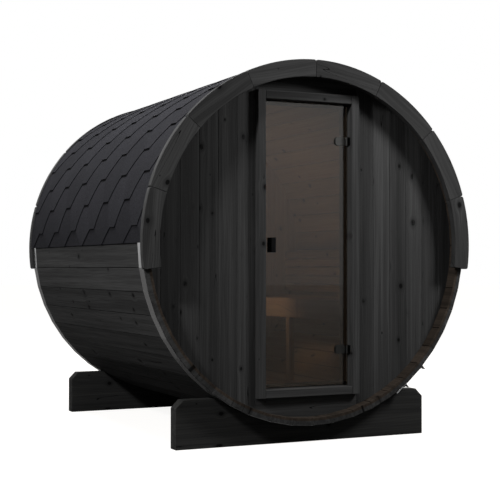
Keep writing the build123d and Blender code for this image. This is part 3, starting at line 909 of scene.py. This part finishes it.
@dataclass
class Roof:
    """Hexagonal felt tabs laid in half-offset courses from both eaves up to a capped ridge."""

    pitch: float = 0.3715
    course: float = 0.1527
    first_course: float = 0.095
    flat: float = 0.092
    first_flat: float = 0.036
    step: float = 0.0038  # how far a tab stands over the one that it lies on
    phase: float = 0.1315  # where a tab of the first course has its middle
    lift: float = 0.0003  # keeps a tab's underside off the felt below it
    underlay_steps: int = 40

    def tab_tree(self) -> Growth:
        """Builds the tree that lays tabs on a flat sheet and then bends the sheet round the barrel.

        Returns:
            The tree.
        """
        sizes = {"Columns": 8, "Courses": 11, "Pitch": self.pitch, "Course": self.course, "Flat": self.flat}
        sizes |= {"Foot": self.flat, "Slant": self.course, "Cover": 2 * self.course}
        sizes |= {"Step": self.step, "Start": 0.0, "Phase": 0.0, "Radius": ROOF_RADIUS, "Side": 1.0}
        sizes |= {"Half Length": BARREL_HALF_LENGTH, "Ridge": pi / 2 * ROOF_RADIUS}
        sizes |= {"Axis Height": AXIS_HEIGHT, "Seed": 5}
        grow = Growth("felt_tabs", sizes)
        calc = grow.calc
        # One tab is a strip of quads from its straight foot to its hidden top: x across, y up the roof.
        cells = {"Size X": 1.0, "Size Y": 1.0, "Vertices X": 9, "Vertices Y": 13}
        cells = grow.add("GeometryNodeMeshGrid", cells)
        spot = grow.spot()
        fold = calc("MULTIPLY", calc("ADD", (spot, "Y"), 0.5), 2.0)
        widening = calc("MINIMUM", fold, 1.0)
        spare = calc("SUBTRACT", "Pitch", calc("ADD", "Flat", "Foot"))
        x = calc("MULTIPLY", (spot, "X"), calc("MULTIPLY_ADD", spare, widening, "Foot"))
        hidden = calc("SUBTRACT", fold, widening)
        rest = calc("MULTIPLY", calc("SUBTRACT", "Cover", "Slant"), hidden)
        y = calc("MULTIPLY_ADD", widening, "Slant", rest)
        thin = calc("MULTIPLY", "Step", -1.0)
        # The top face falls by two steps over two courses, so it stands one step over the tab below it.
        z = calc("MULTIPLY_ADD", "Step", 3.0, calc("MULTIPLY_ADD", fold, thin, self.lift))
        place = grow.point(x, y, z)
        tab = grow.add("GeometryNodeSetPosition", {"Geometry": (cells, "Mesh"), "Position": place})
        # The cut face of the foot is the darkest. The next foot lies where the "under" value is 1, and just
        # below that the tab gets a painted shade band.
        foot = calc("LESS_THAN", (spot, "Y"), 0.001)
        closed = grow.thicken(tab, thin, calc("MULTIPLY_ADD", foot, 0.55, 0.45))
        under = calc("ADD", calc("SUBTRACT", (spot, "Y"), "Cover"), 1.0)
        closed = grow.mark(closed, "under", under)
        # The points that carry the tabs: every other course is moved by half a pitch.
        column = grow.row("Courses", grow.point(y="Course"))
        points = grow.real(grow.lay(column, grow.row("Columns", grow.point("Pitch"))))
        number = calc("ROUND", calc("DIVIDE", (grow.spot(), "Y"), "Course"))
        shift = calc("MULTIPLY", calc("MODULO", number, 2.0), "Pitch")
        offset = grow.point(calc("MULTIPLY_ADD", shift, 0.5, "Phase"), "Start")
        points = grow.add("GeometryNodeSetPosition", {"Geometry": points, "Offset": offset})
        tone = grow.add("FunctionNodeRandomValue", {"Seed": "Seed"}, data_type="FLOAT")
        laid = grow.real(grow.mark(grow.lay(points, closed), "tab", tone, "INSTANCE"))
        # The flat sheet is trimmed at the gables, the eave and the ridge, and bent round the barrel.
        flat = grow.spot()
        ends = calc("MULTIPLY", "Half Length", -1.0)
        length = calc("MAXIMUM", calc("MINIMUM", (flat, "X"), "Half Length"), ends)
        arc = calc("MAXIMUM", calc("MINIMUM", (flat, "Y"), "Ridge"), 0.0)
        angle = calc("DIVIDE", arc, "Radius")
        reach = calc("ADD", "Radius", (flat, "Z"))
        sideways = calc("MULTIPLY", calc("COSINE", angle), reach)
        sideways = calc("MULTIPLY", sideways, "Side")
        rise = calc("MULTIPLY_ADD", calc("SINE", angle), reach, "Axis Height")
        grow.close(laid, sideways, length, rise)
        return grow

    def sheet(self, name: str, side: float, finish: Material) -> Object:
        """Makes the felt underlay of one side, which is thicker at the eave, where the starter strip lies.

        Args:
            name: the piece's name.
            side: -1 for the left side, 1 for the right.
            finish: its material.

        Returns:
            The new object.
        """
        work = bmesh.new()
        edge = work.faces.layers.float.new("edge")
        inner, first = ROOF_RADIUS - 0.0005, self.first_course / ROOF_RADIUS
        steps = self.underlay_steps
        rings = []
        for angle in [0.0, first / 2, first] + [step / steps * pi / 2 for step in range(3, steps + 1)]:
            outer = ROOF_RADIUS + self.step * (2 - min(angle / first, 1.0))
            ring = []
            for radius, y in ((inner, -1), (outer, -1), (outer, 1), (inner, 1)):
                spot = (side * radius * cos(angle), y * BARREL_HALF_LENGTH, AXIS_HEIGHT + radius * sin(angle))
                ring.append(work.verts.new(spot))
            rings.append(ring)
        for a, b in zip(rings, rings[1:]):
            for i in range(4):
                work.faces.new((a[i], a[(i + 1) % 4], b[(i + 1) % 4], b[i]))
        work.faces.new(rings[0])[edge] = 1.0
        work.faces.new(rings[-1])
        return solid_piece(name, work, finish)

    def cap_tree(self) -> Growth:
        """Builds the tree for the ridge: short strips bent over it, each lapped onto the one behind.

        Returns:
            The tree.
        """
        sizes = {"Strips": 15, "Spacing": 0.15, "Long": 0.27, "Across": 0.25, "Thick": 0.0016, "Lap": 0.0028}
        sizes |= {"Radius": ROOF_RADIUS + 3 * self.step, "Half Length": BARREL_HALF_LENGTH}
        sizes |= {"Axis Height": AXIS_HEIGHT}
        grow = Growth("ridge_cap", sizes)
        calc = grow.calc
        strip = {"Size X": "Across", "Size Y": "Long", "Vertices X": 13, "Vertices Y": 2}
        strip = grow.add("GeometryNodeMeshGrid", strip)
        spot = grow.spot()
        slope = calc("SUBTRACT", 0.5, calc("DIVIDE", (spot, "Y"), "Long"))
        rise = grow.point(z=calc("MULTIPLY", slope, "Lap"))
        tilted = grow.add("GeometryNodeSetPosition", {"Geometry": (strip, "Mesh"), "Offset": rise})
        closed = grow.thicken(tilted, calc("MULTIPLY", "Thick", -1.0), 1.0)
        start = calc("SUBTRACT", calc("MULTIPLY", "Long", 0.5), "Half Length")
        line = grow.row("Strips", grow.point(y="Spacing"), grow.point(y=start))
        tone = grow.add("FunctionNodeRandomValue", {"Seed": 3}, data_type="FLOAT")
        laid = grow.real(grow.mark(grow.lay(line, closed), "tab", tone, "INSTANCE"))
        angle = calc("DIVIDE", (spot, "X"), "Radius")
        reach = calc("ADD", "Radius", (spot, "Z"))
        x = calc("MULTIPLY", calc("SINE", angle), reach)
        y = calc("MINIMUM", (spot, "Y"), "Half Length")
        grow.close(laid, x, y, calc("MULTIPLY_ADD", calc("COSINE", angle), reach, "Axis Height"))
        return grow

    def build(self) -> None:
        """Lays both sides of the roof and the cap of the ridge."""
        finish = SlateFelt().build()
        tree = self.tab_tree()
        for name, side, seed in (("left", -1.0, 5), ("right", 1.0, 11)):
            middle = self.phase - 4.5 * self.pitch
            first = {"Courses": 1, "Foot": self.first_flat, "Slant": self.first_course}
            first |= {"Cover": self.first_course + self.course, "Phase": middle, "Side": side, "Seed": 7}
            main = {"Start": self.first_course, "Phase": middle - self.pitch / 2, "Side": side, "Seed": seed}
            parts = [
                tree.grow(f"first_{name}", finish, **first),
                tree.grow(f"tabs_{name}", finish, **main),
                self.sheet(f"underlay_{name}", side, finish),
            ]
            piece = joined(f"roof_shingles_{name}", parts)
            tidy_mesh(piece.data, FELT_SHARP_BEND)
            seat(piece, "cabin", "roof_shingles", f"roof_{name}")
        cap = self.cap_tree().grow("ridge_cap", finish)
        tidy_mesh(cap.data, FELT_SHARP_BEND)
        seat(cap, "cabin", "roof_shingles")


@dataclass
class Fascia:
    """The curved boards on both rims, each sawn from a straight plank."""

    turn: float = radians(24.5)
    ease: float = 0.0025

    def build(self) -> None:
        """Makes the boards with eased edges."""
        finish = Timber("spruce_fascia_black_stain", Lay(Grain.RIM, pitch=self.turn), BLACK_STAIN).build()
        nodes = [f"{end}_fascia_{side}" for end in ("front", "rear") for side in ("left", "right")]
        eased_copies(nodes, finish, self.ease)


@dataclass
class DoorFrame:
    """Jambs, head and sill round the glass door."""

    ease: float = 0.002

    def build(self) -> None:
        """Makes the four timbers of the frame."""
        upright = Timber("spruce_jambs_black_stain", Lay(Grain.ALONG_Z, "X", 0.3, -0.45), BLACK_STAIN).build()
        level = Timber("spruce_head_black_stain", Lay(Grain.ALONG_X, "Z", 0.9, 0.2), BLACK_STAIN).build()
        eased_copies(("door_jamb_left", "door_jamb_right"), upright, self.ease)
        eased_copies(("door_head", "door_sill"), level, self.ease)


@dataclass
class GlassDoor:
    """The glass leaf with its clamps, brackets and handle, and the seals that it shuts against, which also
    paint the shade and the reflection at the leaf's edges.
    """

    seal: float = 0.0075
    seal_inset: float = 0.006
    seal_clear: float = 0.0004  # between the leaf and the seals
    seal_thick: float = 0.0062
    seal_bevel: tuple[float, float] = (0.0012, 0.0014)  # width and depth of the seals' bevelled front edges
    hinge_seal: float = 0.014
    corner_gap: float = 0.001

    def build(self) -> None:
        """Dresses the leaf and its fittings, and makes the seals."""
        dress(BronzeGlass().build(), "door_glass")
        metal = RolledSteel("zinc_casting_black_nickel", "3c3c3b", "2c2c2b", 0.32).build()
        dress(metal, "hinge_clamps", "hinge_brackets")
        dress(MouldedBlack("polyamide_black", "0b0b0c", "131314", shine=0.04).build(), "door_handle")
        low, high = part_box("door_glass")
        # The seals at the head and the sill are black rubber; their black also paints the shade along the
        # glass's top and bottom edges.
        shade_rubber = MouldedBlack("rubber_seal_black_painted_shade", "0e0e0e", "1a1a1a", 0.62).build()
        # The hinge-side seal is silicone; its pale colour paints the grey reflection that the glass shows
        # over the dark stop there.
        reflection_seal = MouldedBlack("silicone_seal_pale_painted_reflection", "b9c2ca", "c9d2da", 0.5, 0.2).build()
        top, bottom = high.z - self.seal_inset, low.z + 2 * self.seal
        level = [((low.x, high.x), (top, top - self.seal)), ((low.x, high.x), (bottom, low.z))]
        upright = (top - self.seal - self.corner_gap, bottom + self.corner_gap)
        back = high.y + self.seal_clear
        self.lay_seals("door_seal_level", level, back, shade_rubber)
        self.lay_seals("door_seal_upright", [((high.x - self.hinge_seal, high.x), upright)], back, reflection_seal)

    def lay_seals(self, name: str, strips: Sequence[Span], back: float, finish: Material) -> None:
        """Lays flat strips of seal on the frame's stops, a hair clear of the leaf, with bevelled front edges.

        Args:
            name: the piece's name.
            strips: the left and right, and the top and bottom of each.
            back: where the seals' front is.
            finish: its material.
        """
        work = bmesh.new()
        width, depth = self.seal_bevel
        for (left, right), (top, bottom) in strips:
            rings = []
            for inset, deep in ((0.0, self.seal_thick), (0.0, depth), (width, 0.0)):
                corners = ((left + inset, top - inset), (right - inset, top - inset))
                corners += ((right - inset, bottom + inset), (left + inset, bottom + inset))
                rings.append([work.verts.new((x, back + deep, z)) for x, z in corners])
            for near, far in zip(rings, rings[1:]):
                for i in range(4):
                    j = (i + 1) % 4
                    work.faces.new((near[i], near[j], far[j], far[i]))
            work.faces.new(rings[0])
            work.faces.new(rings[-1])
        piece = solid_piece(name, work, finish)
        tidy_mesh(piece.data, SEAL_SHARP_BEND)
        seat(piece, "cabin", "black_plastic")


@dataclass
class Hoops:
    """The two steel hoops and the rods that pull them tight."""

    def build(self) -> None:
        """Dresses the strips and the rods."""
        strip = RolledSteel("stainless_strip_cold_rolled", "d6d7d8", "c2c3c5", 0.14).build()
        rod = RolledSteel("stainless_rod_threaded", "c4c5c6", "a8a9aa", 0.3).build()
        dress(strip, "front_hoop", "rear_hoop")
        dress(rod, "front_hoop_tensioner", "rear_hoop_tensioner")


@dataclass
class Cradles:
    """The two saddled planks that the barrel lies in."""

    ease: float = 0.003
    tones: Tones = Tones(base="2f2f2f", pale="3c3c3b", dark="1f1f1f", knot="0b0b0b")

    def build(self) -> None:
        """Makes both cradles with eased edges."""
        lay = Lay(Grain.ALONG_X, "Z", 2.0, -0.5)
        finish = Timber("spruce_cradles_black_stain", lay, self.tones, roughness=0.62).build()
        eased_copies(("front_cradle", "rear_cradle"), finish, self.ease)


@dataclass
class Inside:
    """The floor, the bench and the backrest, all of bare spruce."""

    ease: float = 0.0025
    deck_boards: int = 8
    deck_gap: float = 0.003
    deck_ease: float = 0.002

    def build(self) -> None:
        """Makes the floor boards and the furniture."""
        seat_low, back_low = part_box("bench_seat")[0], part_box("backrest_slats")[0]
        runs = (
            ("bench", Lay(Grain.ALONG_Y, "X", 0.122, seat_low.x - 0.006), ("bench_apron", "bench_seat")),
            ("backrest", Lay(Grain.ALONG_Y, "Z", 0.06, back_low.z - 0.005), ("backrest_slats",)),
            ("bearers", Lay(Grain.ALONG_X, "Y", 0.5, -1.25), ("bench_bearers", "floor_bearers")),
            ("posts", Lay(Grain.ALONG_Z, "Y", 0.5, -1.25), ("bench_leg", "backrest_brackets")),
        )
        for name, lay, nodes in runs:
            eased_copies(nodes, Timber(f"spruce_bare_{name}", lay, BARE_SPRUCE).build(), self.ease)
        self.lay_floor()

    def lay_floor(self) -> None:
        """Grows the floor boards, which run from the door to the rear wall."""
        low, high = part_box("floor_deck")
        pitch = (high.x - low.x) / self.deck_boards
        grow = Growth("floor_boards", {"Boards": self.deck_boards, "Pitch": pitch, "Gap": self.deck_gap})
        span = grow.calc("MULTIPLY", "Boards", "Pitch")
        first = grow.calc("MULTIPLY", grow.calc("SUBTRACT", "Pitch", span), 0.5)
        line = grow.row("Boards", grow.point("Pitch"), grow.point(first))
        size = grow.point(grow.calc("SUBTRACT", "Pitch", "Gap"), high.y - low.y, high.z - low.z)
        cube = grow.add("GeometryNodeMeshCube", {"Size": size})
        boards = grow.real(grow.lay(line, (cube, "Mesh")))
        spot = grow.spot()
        grow.close(boards, (spot, "X"), (spot, "Y"), grow.calc("ADD", (spot, "Z"), (low.z + high.z) / 2))
        finish = Timber("spruce_bare_floor", Lay(Grain.ALONG_Y, "X", pitch, low.x), BARE_SPRUCE).build()
        floor = grow.grow("floor_boards", finish)
        tidy_mesh(floor.data, SHARP_BEND)
        ease_edges(floor, self.deck_ease)
        seat(floor, "cabin", "natural_timber", "floor_deck")


@dataclass(frozen=True)
class Lamp:
    """A square area lamp, with its side, its power and the width of its beam in degrees."""

    name: str
    place: tuple[float, float, float]
    aim: tuple[float, float, float]
    size: float
    watts: float
    spread: float = 180.0

    def build(self) -> None:
        """Adds the lamp to the scene."""
        data = bpy.data.lights.new(self.name, "AREA")
        data.size = self.size
        data.energy = self.watts
        data.spread = radians(self.spread)
        lamp = bpy.data.objects.new(self.name, data)
        lamp.location = self.place
        lamp.rotation_euler = (Vector(self.aim) - Vector(self.place)).to_track_quat("-Z", "Y").to_euler()
        bpy.context.scene.collection.objects.link(lamp)


@dataclass
class Studio:
    """The white studio: camera, lamps, floor and sky."""

    camera_place: tuple[float, float, float] = (-3.236, -7.060, 1.003)
    camera_yaw: float = 25.462
    camera_pitch: float = 0.82
    lens: float = 85.73
    film_width: float = 36.0
    view_depth: float = 200.0
    sky: float = 0.04
    floor_radius: float = 60.0
    lamps: tuple[Lamp, ...] = (
        Lamp("key", (-4.866, -2.736, 3.878), (0.0, -0.6, 1.1), 0.5, 180.0),
        Lamp("top", (-1.7, 0.3, 6.5), (0.0, 0.0, 1.1), 2.5, 470.0),
        Lamp("fill", (2.2, -2.8, 2.8), (0.5, -1.0, 1.4), 0.8, 76.0),
        Lamp("back", (2.4, 6.5, 3.2), (0.0, 1.1, 1.1), 1.5, 240.0),
        Lamp("cabin", (-0.35, -0.2, 0.74), (0.5, 0.5, 1.6), 0.12, 0.8, 92.0),
        Lamp("bench", (-0.08, 0.3, 0.98), (0.42, 0.12, 0.7), 0.1, 0.15, 56.0),
    )

    def build(self) -> None:
        """Sets up the camera, the lamps, the floor and the sky."""
        scene = bpy.context.scene
        scene.view_settings.view_transform = "Standard"
        data = bpy.data.cameras.new("camera")
        data.lens = self.lens
        data.sensor_width = self.film_width
        data.clip_end = self.view_depth
        camera = bpy.data.objects.new("camera", data)
        camera.location = self.camera_place
        camera.rotation_euler = Euler((radians(90 + self.camera_pitch), 0.0, radians(-self.camera_yaw)))
        scene.collection.objects.link(camera)
        scene.camera = camera
        for lamp in self.lamps:
            lamp.build()
        self.floor()
        self.world()

    def floor(self) -> None:
        """Lays the wide white floor, which shows white to the camera and keeps a faint shadow; in reflections
        its glow is painted darker near the barrel.
        """
        work = bmesh.new()
        bmesh.ops.create_circle(work, cap_ends=True, radius=self.floor_radius, segments=64)
        tree = Paint("studio_floor_white")
        far = tree.length(tree.place)
        glow = {"Color": linear("fffefd"), "Strength": tree.ramp(far, (4.0, 12.0), (0.92, 1.0))}
        glow = tree.add("ShaderNodeEmission", glow)
        dim = tree.add("ShaderNodeBsdfDiffuse", {"Color": linear("8f8c88")})
        path = tree.add("ShaderNodeLightPath")
        straight = tree.calc("MAXIMUM", (path, "Is Camera Ray"), (path, "Is Transmission Ray"))
        # Painted shadow: in metal and glass the floor glows less the nearer it is to the barrel.
        reflected_glow_painted_shade = tree.ramp(far, (4.0, 26.0), (0.005, 0.34))
        share = tree.calc("MULTIPLY_ADD", reflected_glow_painted_shade, (path, "Is Glossy Ray"), straight)
        seen = tree.add("ShaderNodeAddShader", {0: glow, 1: dim})
        tree.show(tree.add("ShaderNodeMixShader", {0: share, 1: tree.shader, 2: seen}))
        finish = tree.finish({"Base Color": linear("343332"), "Roughness": 0.9})
        solid_piece("studio_floor", work, finish)

    def world(self) -> None:
        """Makes the sky, which shows white to the camera and lights the cabin softly."""
        world = bpy.data.worlds.new("studio_sky")
        world.use_nodes = True
        tree = Graph()
        tree.tree = world.node_tree
        tree.tree.nodes.clear()
        path = tree.add("ShaderNodeLightPath")
        way = tree.split((tree.add("ShaderNodeTexCoord"), "Generated"))
        above = tree.ramp((way, "Z"), (0.0, 0.1), (0.6, 1.0))
        above = tree.calc("MULTIPLY", above, (path, "Is Glossy Ray"))
        seen = tree.calc("MAXIMUM", (path, "Is Camera Ray"), above)
        seen = tree.calc("MAXIMUM", seen, (path, "Is Transmission Ray"))
        strength = tree.ramp(seen, result=(self.sky, 1.0))
        sky = tree.add("ShaderNodeBackground", {"Color": (1.0, 1.0, 1.0, 1.0), "Strength": strength})
        tree.add("ShaderNodeOutputWorld", {"Surface": sky})
        bpy.context.scene.world = world


def main() -> None:
    """Builds every sub-assembly in order."""
    logging.basicConfig(level=logging.INFO, format="%(name)s %(message)s")
    for part in (Studio, Shell, EndWalls, Roof, Fascia, DoorFrame, GlassDoor, Hoops, Cradles, Inside):
        part().build()
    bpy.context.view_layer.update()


if __name__ == "__main__":
    main()
